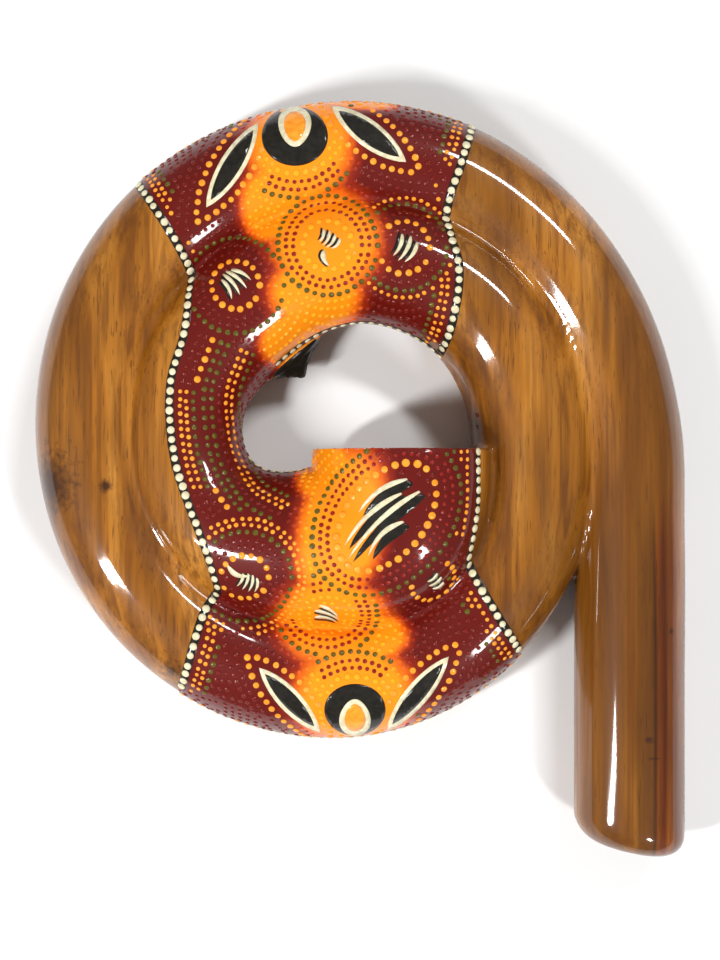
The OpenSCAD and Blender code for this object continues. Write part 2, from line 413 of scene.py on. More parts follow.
class Look:
    """A new material, with short ways to add nodes to it."""

    def __init__(self, name, rough, coat=0.0):
        self.material = bpy.data.materials.new(name)
        self.material.use_nodes = True
        self.tree = self.material.node_tree
        self.inputs = self.tree.nodes["Principled BSDF"].inputs
        for key, value in (("Roughness", rough), ("Coat Weight", coat),
                           ("Coat Roughness", 0.07), ("Specular IOR Level", 0.12)):
            self.inputs[key].default_value = value
        self.coords = self.node("TexCoord").outputs["Object"]

    def fill(self, socket, value):
        """Links a socket to another node's, or gives it a value."""
        if isinstance(value, bpy.types.NodeSocket):
            self.tree.links.new(value, socket)
        else:
            socket.default_value = (*value, 1) if socket.type == "RGBA" else value

    def node(self, kind, *values, **settings):
        """Adds a node. Values fill its sockets in their order, and settings by name."""
        node = self.tree.nodes.new("ShaderNode" + kind)
        for key, value in settings.items():
            if key in node.inputs:
                self.fill(node.inputs[key], value)
            else:
                setattr(node, key, value)
        for socket, value in zip(node.inputs, values):
            self.fill(socket, value)
        return node

    def calc(self, operation, *values):
        return self.node("Math", *values, operation=operation).outputs[0]

    def noise(self, scale, detail, coords=None, warp=0.0):
        node = self.node("TexNoise", Scale=scale, Detail=detail, Distortion=warp)
        self.fill(node.inputs["Vector"], self.coords if coords is None else coords)
        return node.outputs["Fac"]

    def grain(self, scale, stretch, detail=3.0, warp=0.0):
        """Noise that is drawn out along the leg, the way the grain runs."""
        drawn = self.node("Mapping", Vector=self.coords, Scale=(scale, scale / stretch, scale))
        return self.noise(1.0, detail, drawn.outputs["Vector"], warp)

    def far(self, place, reach, turn=0.0):
        """Distance from a place in millimetres, counted in reaches along each axis."""
        place, reach = ([v * MM for v in values] for values in (place, reach))
        moved = self.node("VectorMath", self.coords, place, operation="SUBTRACT").outputs[0]
        scaled = self.node("Mapping", vector_type="TEXTURE", Vector=moved, Scale=reach,
                           Rotation=(0, 0, math.radians(turn))).outputs[0]
        return self.node("VectorMath", scaled, operation="LENGTH").outputs["Value"]

    def ramp(self, source, stops):
        """Colours between stops, each of which is a position and a colour."""
        node = self.node("ValToRGB", source)
        elements = node.color_ramp.elements
        for element, (at, colour) in ((elements[0], stops[0]), (elements[1], stops[-1])):
            element.position = at
            element.color = (*colour, 1)
        for at, colour in stops[1:-1]:
            elements.new(at).color = (*colour, 1)
        return node.outputs["Color"]

    def mix(self, share, a, b, how="MIX"):
        node = self.node("Mix", data_type="RGBA", blend_type=how)
        for number, value in ((0, share), (6, a), (7, b)):
            self.fill(node.inputs[number], value)
        return node.outputs[2]

    def tint(self, source, start, end, most, colour, tint):
        """The colour, tinted by up to most as the source goes from start to end."""
        share = self.ramp(source, [(start, (0, 0, 0)), (end, (most, most, most))])
        return self.mix(share, colour, tint)

    def finish(self, colour, height=None, strength=0.0, distance=0.0):
        """The material, with this colour and with bumps as high as the height says."""
        self.fill(self.inputs["Base Color"], colour)
        if height is not None:
            bump = self.node("Bump", Strength=strength, Distance=distance, Height=height)
            self.fill(self.inputs["Normal"], bump.outputs["Normal"])
        return self.material


# Knots, specks and a dark patch in the wood: place, and reach in x, y and z
KNOTS = [
    ((-160, -2, 46), (17, 19, 40)), ((-130, -3.5, 57), (4.2, 4.5, 7)),
    ((148, -133, 56), (3.2, 2.0, 6)), ((160.5, -78, 50), (1.6, 2.0, 6)),
    ((-96, -98, 44), (8, 8, 20)), ((151.5, -143, 56), (4.0, 0.9, 6)),
]
# Stripes down the leg: how far they wander, then x and the tint that the wood takes there
STRIPE_WANDER = 6.0
LEG_STRIPES = [
    (140, (1, 1, 1)), (142.2, (0.7, 0.68, 0.62)), (149, (0.62, 0.58, 0.5)),
    (150.6, (0.3, 0.26, 0.22)), (152.2, (0.85, 0.62, 0.5)), (156.3, (0.5, 0.24, 0.16)),
    (158.2, (0.95, 0.75, 0.6)), (162.5, (0.6, 0.36, 0.3)), (165, (0.95, 0.8, 0.7)),
]


def leg_stripes(look, colour):
    """Darker and redder stripes along the leg's far side, which fade out up the coil."""
    x, y, _ = look.node("SeparateXYZ", look.coords).outputs
    wander = STRIPE_WANDER * MM
    wandering = look.calc("MULTIPLY_ADD", look.grain(25, 6, detail=2), wander, x)
    low, high = (LEG_X - 4) * MM, (LEG_X + LEG_R) * MM
    across = look.node("MapRange", wandering, low + wander / 2, high + wander / 2).outputs[0]
    stops = [((at * MM - low) / (high - low), tint) for at, tint in LEG_STRIPES]
    striped = look.mix(1.0, colour, look.ramp(across, stops), "MULTIPLY")
    fade = look.node("MapRange", y, 0.01, -0.05, interpolation_type="SMOOTHSTEP").outputs[0]
    return look.mix(fade, colour, striped)


def knot(look, colour, place, reach):
    """A dark spot with a ragged edge."""
    ragged = look.calc("MULTIPLY_ADD", look.far(place, reach), look.noise(300.0, 3.0), 0.5)
    share = look.ramp(ragged, [(0.62, (0.93, 0.93, 0.93)), (1.0, (0, 0, 0))])
    return look.mix(share, colour, (0.035, 0.01, 0.003))


def wood_material():
    """Varnished hardwood: broad brown bands, fine grain, dark pores and a few streaks."""
    look = Look("varnished_wood", 0.5, coat=0.85)
    colour = look.ramp(look.grain(42, 9, detail=3, warp=0.5), [
        (0.27, (0.085, 0.025, 0.002)),
        (0.42, (0.2, 0.065, 0.004)),
        (0.55, (0.33, 0.118, 0.009)),
        (0.74, (0.5, 0.21, 0.03)),
    ])
    fine = look.grain(420, 16, detail=4)
    greys = look.ramp(fine, [(0.3, (0.3, 0.3, 0.3)), (0.62, (0.62, 0.6, 0.58))])
    colour = look.mix(0.45, colour, greys, "OVERLAY")
    pores = look.grain(1300, 22, detail=1)
    colour = look.tint(pores, 0.63, 0.7, 0.55, colour, (0.05, 0.014, 0.004))
    fields = look.grain(11, 2.2, detail=2, warp=0.8)
    colour = look.tint(fields, 0.45, 0.66, 0.6, colour, (0.12, 0.04, 0.003))
    lines = look.grain(230, 60, detail=3, warp=0.4)
    colour = look.tint(lines, 0.5, 0.64, 0.6, colour, (0.12, 0.034, 0.003))
    colour = leg_stripes(look, colour)
    for place, reach in KNOTS:
        colour = knot(look, colour, place, reach)
    streaks = look.grain(90, 14, detail=2, warp=0.3)
    colour = look.tint(streaks, 0.62, 0.75, 0.5, colour, (0.075, 0.026, 0.008))
    return look.finish(colour, fine, 0.12, 0.0004)


def glue_material():
    look = Look("glue", 0.5)
    return look.finish(look.ramp(look.grain(300, 4), [
        (0.4, (0.05, 0.02, 0.008)),
        (0.6, (0.09, 0.04, 0.015)),
    ]))


varnished_wood = wood_material()
for piece, node, material, slot in (
    (front_wood, "front_half", varnished_wood, "varnished_wood"),
    (back_wood, "back_half", varnished_wood, "varnished_wood"),
    (glue_film, "glue_line", glue_material(), "glue"),
):
    piece.data.materials.append(material)
    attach(piece, "root")
    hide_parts(node)

# ---------------------------------------------------------------- the painted band

# Where the paint's black border runs, as seen from above: from its upper to its lower end
LEFT_BORDER = [
    [(-116.9, 156.1), (-103.6, 136.5), (-93, 117.9), (-88.8, 108.9)],
    [(-88.8, 108.9), (-90.4, 99.4), (-93, 78.2), (-99.9, 54.3), (-101, 41.1), (-100.4, 27.8),
     (-97.8, 9.3), (-92, -9.3), (-85.1, -27.8), (-78.7, -46.4), (-75, -58.6)],
    [(-75, -58.6), (-82.4, -70.2), (-87.7, -86.1), (-91.4, -99.4), (-94.6, -110)],
]
RIGHT_TOP_BORDER = [
    [(59.1, 186.3), (53.8, 168.3), (47.4, 149.7), (45.3, 139.1)],
    [(45.3, 139.1), (48.5, 128.5), (52.2, 115.3), (52.2, 102), (50.6, 91.4), (46.4, 75.5),
     (42.7, 67.6)],
]
RIGHT_LOW_BORDER = [
    [(62.3, RIM_Y - 1), (62.3, 0), (62.3, -11.9), (60.2, -27.8), (57, -43.7)],
    [(57, -43.7), (62.3, -54.3), (68.6, -64.9), (76.6, -78.2), (84.5, -90.4)],
]
# The pointed web is black, with the border's line of dots where it leaves the coil
WEB_LINE = [(-45.2, 55.2), (-37.5, 62), (-30, 68), (-23, 74.2)]
WEB_OUTLINE = [(-48, 48), (-45.4, 55.4), (-37.5, 62.2), (-30, 68.2), (-22, 75), (-12, 66), (-30, 45)]
BORDER_WIDTH = 5.0
SASH_LIFT = 0.25
BORDER_LIFT = 0.4
PATCH_LIFT = 0.42
PATCH_STEP = 0.14
PATCH_GRID = 1.7
CREAM_DOT = 2.05
CREAM_GAP = 4.7
BIG_DOT = 1.75
SMALL_DOT = 1.2
TONE_DOT = 1.3
RING_GAP = 3.9
DOT_GAP = 0.75
BORDER_DOT_GAP = 0.3
OLIVE_DOT = 1.5
# The bell's cut rim starts here, and no paint comes this near to the bore
RIM_LEFT = -30.0
BORE_MARGIN = 4.0

body_surface = BVHTree.FromPolygons(
    wood_verts.tolist(), [[int(v) for v in f] for f in wood_faces]
)
EYE = Vector((0, 0, MID + EYE_HEIGHT))


def seen(x, y):
    """The point and normal of the wood that is seen from above past (x, y) at mid-height."""
    toward = (Vector((x, y, MID)) - EYE).normalized()
    at, normal, _, _ = body_surface.ray_cast(EYE, toward)
    if at is None or at.z < MID - 6:
        at, normal, _, _ = body_surface.find_nearest(Vector((x, y, MID + 4)))
    return at, normal


def nearest(point):
    at, normal, _, _ = body_surface.find_nearest(point)
    return at, normal


def smooth_line(points, step=1.0):
    """A smooth open line through two-number points, sampled about every step."""
    flat = [(x, y, 0, 0) for x, y in points]
    return [tuple(p[:2]) for p in spline(flat, step)[0]]


def border_line(runs):
    return [p for run in runs for p in smooth_line(run)]


left_line = border_line(LEFT_BORDER)
right_top_line = border_line(RIGHT_TOP_BORDER)
right_low_line = border_line(RIGHT_LOW_BORDER)
# The painted area, seen from above; it runs past the body's edges and over the hole
sash_outline = (
    [(-130, 215)] + left_line + [(-110, -150), (98, -150)] + right_low_line[::-1]
    + [(62.3, 40), (42, 60)] + right_top_line[::-1] + [(68, 215)]
)


def flat_view(points):
    """Where points of the body are seen, moved to mid-height along the line to the eye."""
    reach = EYE_HEIGHT / (EYE_HEIGHT - (points[:, 2:3] - MID))
    return points[:, :2] * reach


def inside(points, outline):
    """Which points lie within a closed outline."""
    hit = np.zeros(len(points), bool)
    x, y = points[:, 0], points[:, 1]
    for (ax, ay), (bx, by) in zip(outline, outline[1:] + outline[:1]):
        if ay == by:
            continue
        hit ^= ((ay > y) != (by > y)) & (x < ax + (bx - ax) * (y - ay) / (by - ay))
    return hit


class Plan:
    """A map of the painted area, seen from above, of where dots may still go."""

    STEP = 0.7
    LOW = (-135.0, -155.0)
    HIGH = (135.0, 222.0)

    def __init__(self, outline):
        axes = [np.arange(a, b, self.STEP) for a, b in zip(self.LOW, self.HIGH)]
        x, y = np.meshgrid(*axes, indexing="ij")
        self.points = np.stack([x.ravel(), y.ravel()], axis=1)
        self.free = inside(self.points, outline)
        self.edge = np.zeros(len(self.points), bool)
        self.rows = len(axes[1])

    def block(self, outline):
        self.free &= ~inside(self.points, outline)

    def block_edge(self, line, reach):
        for px, py in line[::2]:
            self.edge |= (np.abs(self.points - (px, py)) < reach).all(axis=1)

    def at(self, x, y):
        i = int(round((x - self.LOW[0]) / self.STEP))
        j = int(round((y - self.LOW[1]) / self.STEP))
        return min(max(i * self.rows + j, 0), len(self.points) - 1)


plan = Plan(sash_outline)


def painted_faces(outline, low):
    """Numbers of the wood's outer faces above a height that are seen inside an outline."""
    corners = wood_verts[wood_faces]
    centre = corners.mean(axis=1)
    across = np.cross(corners[:, 2] - corners[:, 0], corners[:, 3] - corners[:, 1])
    across /= np.linalg.norm(across, axis=1)[:, None]
    cell = np.round((centre - grid.low) / CELL).astype(int)
    cell = np.clip(cell, 0, np.array(grid.shape) - 1)
    from_bore = np.abs(bore_field[tuple(cell.T)])
    rim = (np.abs(centre[:, 1] - RIM_Y) < 1.0) & (across[:, 1] > 0.8) & (centre[:, 0] > RIM_LEFT)
    rim &= centre[:, 0] < BELL_X + BELL_R
    painted = (centre[:, 2] > low) & (from_bore > BORE_MARGIN) & ~rim
    if low < MID:
        painted &= across[:, 2] > 0.1
    return np.flatnonzero(painted & inside(flat_view(centre), outline))


def shell(name, top, under, faces):
    """A closed thin piece between an upper and a lower copy of the same faces."""
    n = len(top)
    edges = {}
    for face in faces:
        for a, b in zip(face, np.roll(face, -1)):
            key = (min(a, b), max(a, b))
            edges[key] = None if key in edges else (a, b)
    walls = [(a, n + a, n + b, b)[::-1] for a, b in filter(None, edges.values())]
    lower = [tuple(n + np.array(f[::-1])) for f in faces]
    return new_mesh(name, np.vstack([top, under]), [tuple(f) for f in faces] + lower + walls)


def coat(name, outline, lift, low=MID + 0.5):
    """A layer of paint on the wood's faces inside an outline."""
    chosen = wood_faces[painted_faces(outline, low)]
    used, renumbered = np.unique(chosen, return_inverse=True)
    faces = renumbered.reshape(chosen.shape)
    verts = wood_verts[used]
    normals = np.zeros_like(verts)
    corners = verts[faces]
    across = np.cross(corners[:, 2] - corners[:, 0], corners[:, 3] - corners[:, 1])
    for i in range(4):
        np.add.at(normals, faces[:, i], across)
    normals /= np.linalg.norm(normals, axis=1)[:, None]
    return shell(name, verts + normals * lift, verts - normals * 0.15, faces)


class Collected:
    """Verts and faces of many small like shapes, which become one piece."""

    def __init__(self):
        self.verts, self.faces = [], []

    def add(self, verts, faces):
        base = len(self.verts)
        self.verts += [tuple(v) for v in verts]
        self.faces += [tuple(base + i for i in f) for f in faces]

    def piece(self, name):
        return new_mesh(name, self.verts, self.faces)


def frame_at(normal):
    side = normal.cross(Vector((0.3, 0.9, 0.1))).normalized()
    return side, normal.cross(side)


placed = {}
hand = random.Random(11)
WANDER = 0.22


def is_free(at, size, gap):
    """Whether a dot fits here beside the dots that are already there."""
    cell = tuple(int(v // 5) for v in at)
    for i in (-1, 0, 1):
        for j in (-1, 0, 1):
            for k in (-1, 0, 1):
                for other, r in placed.get((cell[0] + i, cell[1] + j, cell[2] + k), ()):
                    if (other - at).length < r + size + gap:
                        return False
    return True


def dot(into, at, normal, size, lift=SASH_LIFT, gap=DOT_GAP):
    """A small dome of thick paint on the surface, if there is room for it."""
    size *= hand.uniform(0.88, 1.1)
    if not is_free(at, size, gap):
        return False
    placed.setdefault(tuple(int(v // 5) for v in at), []).append((at, size))
    side, along = frame_at(normal)
    at = at + side * hand.uniform(-WANDER, WANDER) + along * hand.uniform(-WANDER, WANDER)
    sides = 10
    verts = []
    for share, height in ((1.0, -0.12), (0.93, 0.18), (0.62, 0.36)):
        for i in range(sides):
            turn = 2 * math.pi * i / sides
            out = side * math.cos(turn) + along * math.sin(turn)
            verts.append(at + out * size * share + normal * (lift + height * size * 0.9))
    verts.append(at + normal * (lift + 0.43 * size * 0.9))
    faces = [tuple(range(sides))[::-1]]
    for ring in (0, sides):
        for i in range(sides):
            j = (i + 1) % sides
            faces.append((ring + i, ring + j, ring + sides + j, ring + sides + i))
    for i in range(sides):
        faces.append((2 * sides + i, 2 * sides + (i + 1) % sides, 3 * sides))
    into.add(verts, faces)
    return True


cream, orange, olive, red, tone = (Collected() for _ in range(5))
black_paint, cream_paint, orange_paint, border_paint = (Collected() for _ in range(4))


def allowed(x, y):
    return plan.free[plan.at(x, y)]


def row(into, line, size, gap, anywhere=False, lift=SASH_LIFT):
    """Dots along a line, evenly spaced on the surface."""
    last = None
    for x, y in line:
        if not anywhere and not allowed(x, y):
            continue
        at, normal = seen(x, y)
        if at.z < MID + 1.5 or (not anywhere and off_paint(at)):
            continue
        if last is None or (at - last).length >= gap:
            if dot(into, at, normal, size, lift, gap=BORDER_DOT_GAP if anywhere else DOT_GAP):
                last = at


def ellipse(cx, cy, rx, ry, turn=0.0):
    """Points about half a millimetre apart, round an ellipse turned by some degrees."""
    n = max(int(math.radians(360) * max(rx, ry) / 0.5), 8)
    c, s = math.cos(math.radians(turn)), math.sin(math.radians(turn))
    line = []
    for i in range(n + 1):
        a = math.radians(360 * i / n)
        u, v = rx * math.cos(a), ry * math.sin(a)
        line.append((cx + u * c - v * s, cy + u * s + v * c))
    return line


def beside(line, away):
    """A line at a set distance to the left of another."""
    moved = []
    for i, (x, y) in enumerate(line):
        ax, ay = line[max(i - 2, 0)]
        bx, by = line[min(i + 2, len(line) - 1)]
        far = math.hypot(bx - ax, by - ay) or 1
        moved.append((x - (by - ay) / far * away, y + (bx - ax) / far * away))
    return moved


def ribbon(points_normals, width, lift, into):
    """A raised strip along points on the surface, which follows the surface across."""
    shares = (-1.0, -0.8, 0.0, 0.8, 1.0)
    heights = (-0.3, 1.0, 1.0, 1.0, -0.3)
    n = len(points_normals)
    verts = []
    for i, (at, normal) in enumerate(points_normals):
        ahead = points_normals[min(i + 1, n - 1)][0] - points_normals[max(i - 1, 0)][0]
        side = normal.cross(ahead).normalized()
        for share, height in zip(shares, heights):
            near, out = nearest(at + side * share * width / 2)
            verts.append(near + out * lift * height)
    rows = len(shares)
    faces = []
    for i in range(n - 1):
        for j in range(rows):
            k = (j + 1) % rows
            a, b = i * rows, (i + 1) * rows
            faces.append((a + j, a + k, b + k, b + j))
    faces.append(tuple(range(rows)))
    faces.append(tuple((n - 1) * rows + j for j in range(rows))[::-1])
    into.add(verts, faces)


def even(line, step):
    """Points and normals on the surface under a line, about step apart."""
    found = []
    for x, y in line:
        at, normal = seen(x, y)
        if not found or (at - found[-1][0]).length >= step:
            found.append((at, normal))
    return found


def border(line):
    """Black line with cream dots, along the edge of the painted band."""
    ribbon(even(line, 1.6), BORDER_WIDTH, BORDER_LIFT, border_paint)
    row(cream, line, CREAM_DOT, CREAM_GAP, anywhere=True, lift=BORDER_LIFT)


FLANK_SAMPLES = 300
# Runs of the border along the outside of the coil and along the hole's edge: first and
# last station, share of that stretch where the run starts and ends, and side
OUTER_RUNS = [(5, 11, 0.0, 1.0, 1), (12, 19, 0.0, 1.0, 1)]
HOLE_RUNS = [(20, 26, 0.0, 0.86, -1), (28, 32, 0.1, 0.86, -1)]


def tube_point(share, first, last, lean, side):
    """A point of the tube between two stations, lean degrees above the joint, on the side
    away from the spiral's middle (1) or towards it (-1)."""
    i = tube_marks[first] + share * (tube_marks[last] - tube_marks[first])
    low = int(i)
    high = min(low + 1, len(tube) - 1)
    here = tube[low] + (tube[high] - tube[low]) * (i - low)
    ahead = tube[min(low + 2, len(tube) - 1)] - tube[max(low - 2, 0)]
    out = Vector((ahead[1], -ahead[0], 0)).normalized() * side
    up = math.sin(math.radians(lean))
    flat = math.cos(math.radians(lean))
    return nearest(Vector(here[:3]) + (out * flat + Vector((0, 0, up))) * here[3])


def flank(run, lean, inset=0.0):
    """Points along one side of the tube, start and end being shares of the stretch."""
    first, last, start, end, side = run
    start, end = start + inset, end - inset
    n = int(FLANK_SAMPLES * (end - start))
    return [tube_point(start + (end - start) * i / n, first, last, lean, side)
            for i in range(n + 1)]


def patch(outline, level, into):
    """A thin layer of paint with this outline, laid on the surface at the given level."""
    xs = [p[0] for p in outline]
    ys = [p[1] for p in outline]
    points = [Vector(p) for p in outline]
    edges = [(i, (i + 1) % len(points)) for i in range(len(points))]
    spots = []
    y = min(ys) + PATCH_GRID / 2
    while y < max(ys):
        x = min(xs) + PATCH_GRID / 2
        while x < max(xs):
            spots.append((x, y))
            x += PATCH_GRID
        y += PATCH_GRID
    spots = np.array(spots).reshape(-1, 2)
    for x, y in spots[inside(spots, outline)]:
        if min(math.hypot(x - a, y - b) for a, b in outline) > PATCH_GRID * 0.5:
            points.append(Vector((x, y)))
    flat, _, tris, *_ = delaunay_2d_cdt(points, edges, [], CDT_INSIDE, 1e-4)
    lift = PATCH_LIFT + PATCH_STEP * level
    top, under = [], []
    for p in flat:
        at, normal = seen(p.x, p.y)
        top.append(at + normal * lift)
        under.append(at - normal * 0.1)
    n = len(top)
    count = {}
    for tri in tris:
        for a, b in zip(tri, tri[1:] + tri[:1]):
            key = (min(a, b), max(a, b))
            count[key] = None if key in count else (a, b)
    faces = [tuple(t) for t in tris] + [tuple(n + i for i in t[::-1]) for t in tris]
    faces += [(b, a, n + a, n + b) for a, b in filter(None, count.values())]
    into.add(top + under, faces)


def leaf_outline(tip, foot, width, grow=0.0):
    """A pointed leaf from foot to tip, made wider and longer all round by grow."""
    ax, ay = tip
    bx, by = foot
    far = math.hypot(ax - bx, ay - by)
    ux, uy = (ax - bx) / far, (ay - by) / far
    half = width / 2 + grow
    reach = far / 2 + grow * 2.2
    mx, my = (ax + bx) / 2, (ay + by) / 2
    line = []
    steps = 16
    for side in (1, -1):
        for i in range(steps):
            t = -1 + 2 * i / steps
            w = half * (1 - t * t) ** 0.85 * side
            along = t * reach * side
            line.append((mx + ux * along - uy * w, my + uy * along + ux * w))
    return line


def leaf(tip, foot, width):
    """Black leaf with a cream outline and a row of large orange dots round it."""
    patch(leaf_outline(tip, foot, width), 0, cream_paint)
    patch(leaf_outline(tip, foot, width, -2.1), 1, black_paint)
    plan.block(leaf_outline(tip, foot, width, 2.0))
    for grow, into, size in ((4.2, orange, BIG_DOT), (8.4, tone, TONE_DOT), (12.2, tone, TONE_DOT)):
        row(into, closed(leaf_outline(tip, foot, width, grow)), size, 2 * size + 1.3)


def closed(outline):
    """A finely sampled line round an outline."""
    line = []
    for (ax, ay), (bx, by) in zip(outline, outline[1:] + outline[:1]):
        n = max(int(math.hypot(bx - ax, by - ay) / 0.5), 1)
        line += [(ax + (bx - ax) * i / n, ay + (by - ay) * i / n) for i in range(n)]
    return line


def egg(cx, cy, rx, ry, point=0.0):
    """An oval that is drawn out at the bottom (or at the top, if point is negative)."""
    line = ellipse(cx, cy, rx, ry)[:-1:3]
    return [(cx + (x - cx) * (1 - point * (cy - y) / ry * 0.5), y) for x, y in line]


def stroke(start, end, width, bend, into, level):
    """A tapered brush stroke: round at its start and pointed at its end."""
    ax, ay = start
    bx, by = end
    far = math.hypot(bx - ax, by - ay)
    ux, uy = (bx - ax) / far, (by - ay) / far
    left, right = [], []
    steps = 9
    for i in range(steps + 1):
        t = i / steps
        w = width / 2 * min(1.0, 3.2 * (t + 0.03)) ** 0.5 * (1 - t) ** 0.55 + 0.08
        off = bend * 4 * t * (1 - t)
        x, y = ax + ux * far * t - uy * off, ay + uy * far * t + ux * off
        left.append((x - uy * w, y + ux * w))
        right.append((x + uy * w, y - ux * w))
    patch(left + right[::-1], level, into)


def paired_strokes(cx, cy, length, angle, spread, count, width, fan=0.0):
    """Cream strokes, each with a black one beside it."""
    c, s = math.cos(math.radians(angle)), math.sin(math.radians(angle))
    for i in range(count):
        off = (i - (count - 1) / 2) * spread
        long = length * (1 - 0.16 * abs(i - (count - 1) / 2))
        lean = math.radians(angle + fan * (i - (count - 1) / 2))
        dx, dy = math.cos(lean) * long / 2, math.sin(lean) * long / 2
        for push, into, level in ((width * 0.55, black_paint, 0), (-width * 0.15, cream_paint, 1)):
            x, y = cx - s * (off + push), cy + c * (off + push)
            stroke((x + dx, y + dy), (x - dx, y - dy), width, width * 0.5, into, level)


def arch(cx, cy, rx, ry, oval, up):
    """A round black shape with a cream-edged orange oval that opens to its outer side."""
    outer = egg(cx, cy, rx, ry)
    patch(outer, 0, black_paint)
    plan.block([(cx + (x - cx) * 1.12, cy + (y - cy) * 1.12) for x, y in outer])
    ox, oy, orx, ory = oval
    patch(egg(ox, oy, orx, ory, 0.4 * up), 1, cream_paint)
    patch(egg(ox, oy, orx * 0.66, ory * 0.74, 0.4 * up), 2, orange_paint)


def between(line, start, end):
    """Part of a line, from one share of its length to another."""
    n = len(line)
    return line[int(start * n) : int(end * n)]


def paint_borders():
    for line in (left_line, right_top_line, right_low_line):
        border(line)
        plan.block_edge(line, BORDER_WIDTH / 2 + 1.3)
    border(smooth_line(WEB_LINE))
    plan.block(WEB_OUTLINE)
    plan.block_edge(smooth_line(WEB_LINE), BORDER_WIDTH / 2 + 1.3)
    for runs, lean in ((OUTER_RUNS, 4.5), (HOLE_RUNS, 8.0)):
        for run in runs:
            line = flank(run, lean)
            kept = inside(np.array([at[:2] for at, _ in line]), sash_outline)
            line = [place for place, keep in zip(line, kept) if keep]
            ribbon(line[::2], BORDER_WIDTH, BORDER_LIFT, border_paint)
            last = None
            for at, normal in line:
                if last is None or (at - last).length >= CREAM_GAP:
                    if dot(cream, at, normal, CREAM_DOT * 0.85, BORDER_LIFT, BORDER_DOT_GAP):
                        last = at


def paint_motifs():
    arch(-34.5, 182, 17.5, 15.5, (-34.5, 187, 8.6, 10.5), 1)
    arch(-2.7, -121.5, 16.2, 13.5, (-2.7, -125.5, 8.2, 9.5), -1)
    paired_strokes(-16.8, 127.5, 9, 60, 2.9, 4, 1.9, fan=8)
    stroke((-19.5, 121.5), (-16.5, 113.5), 3.4, -1.2, cream_paint, 1)
    stroke((-20.4, 122.0), (-17.3, 113.0), 4.4, -1.2, black_paint, 0)
    paired_strokes(-67, 104.5, 15, 135, 3.6, 4, 2.4, fan=-12)
    paired_strokes(23.2, 122.8, 14.5, 62, 4.0, 3, 2.7, fan=5)
    for start, end in (((25, 0.5), (-0.5, -17)), ((22, -7), (-8, -34.5)),
                       ((31.5, -6), (-6, -41.5)), ((23, -22), (4.5, -40))):
        under = [(x + 2.4, y - 1.9) for x, y in (start, end)]
        stroke(*under, 7.4, -2.6, black_paint, 0)
        stroke(start, end, 3.3, -3.2, cream_paint, 1)
    paired_strokes(-59.5, -54, 9.5, 72, 2.9, 4, 1.8, fan=-6)
    stroke((-70, -45.5), (-58, -50.5), 3.2, -2.4, cream_paint, 1)
    paired_strokes(39.6, -53.4, 8, 35, 2.6, 3, 1.7, fan=5)
    paired_strokes(-17.5, -71.5, 13.5, 160, 2.3, 3, 1.7, fan=10)
    for motif in (
        ellipse(-17.2, 124.5, 9.5, 10.5), ellipse(-66, 103.5, 10, 9.5), ellipse(23.2, 122.8, 9, 9.5),
        ellipse(12, -20, 29, 17, 47), ellipse(-61, -51, 8.5, 7.5), ellipse(38.4, -53.3, 8.5, 5.5, 32),
        ellipse(-17.5, -71.5, 9.5, 5.0),
    ):
        plan.block(motif)
    leaf((-81.5, 144.5), (-54, 189), 13)
    leaf((24.5, 168.5), (-15, 198), 14)
    leaf((-53.5, -99.5), (-21, -133.5), 12)
    leaf((47, -93.5), (14, -132.5), 12)


def paint_rings():
    """Rings of dots round each motif, each with its paint, dot size and distance."""
    bold, plain = (orange, BIG_DOT), (orange, SMALL_DOT)
    pale, faint = (tone, BIG_DOT), (tone, TONE_DOT)
    dark, green = (red, SMALL_DOT), (olive, OLIVE_DOT)
    for cx, cy, rx, ry, turn, rings in (
        (-17.2, 124.5, 13, 13, 0, ((pale, 0), (dark, 5.4), (dark, 9.2), (green, 13.4))),
        (-65.8, 103.2, 12.7, 12.7, 0, ((bold, 0), (faint, 4.6), (faint, 8.4), (green, 12.6))),
        (23.3, 123.2, 13.6, 13.8, 0, ((bold, 0), (faint, 4.6), (green, 9.2), (plain, 12.6))),
        (-34.5, 182, 21.5, 19.5, 0, ((pale, 0), (dark, 4.4), (dark, 8.4), (green, 12.8))),
        (-2.7, -121.5, 20.5, 17.5, 0, ((pale, 0), (dark, 4.4), (dark, 8.4), (green, 13.0))),
        (14, -19.5, 33, 20.5, 50, (((orange, 2.0), 0), (dark, 5.0), (dark, 9.0), (green, 13.2))),
        (-61, -51.2, 12.6, 11.4, 0, ((bold, 0), (faint, 4.4), (faint, 8.2), (green, 12.4),
                                     (plain, 16.2), (plain, 19.4))),
        (38.6, -53.3, 12.4, 8.8, 35, ((bold, 0), (faint, 4.4), (faint, 8.0))),
        (-17.5, -71.5, 14.5, 9.5, 0, ((faint, 0), (dark, 4.0), (dark, 7.8), (green, 12.0))),
    ):
        for (into, size), away in rings:
            row(into, ellipse(cx, cy, rx + away, ry + away, turn), size, 2 * size + 1.25)


def paint_edge_rows():
    """Rows that keep beside the border: two of small orange dots, then one of olive."""
    for line, side, parts in (
        (left_line, 1, ((0, 0.28), (0.42, 0.62), (0.8, 1))),
        (right_top_line, -1, ((0, 0.42), (0.66, 1))),
        (right_low_line, -1, ((0, 0.42), (0.56, 1))),
    ):
        for start, end in parts:
            piece = between(line, start, end)
            for away, into, size in (
                (5.6, orange, SMALL_DOT), (8.9, orange, SMALL_DOT), (12.6, olive, 1.45),
            ):
                row(into, beside(piece, side * away), size, 2 * size + 1.1)


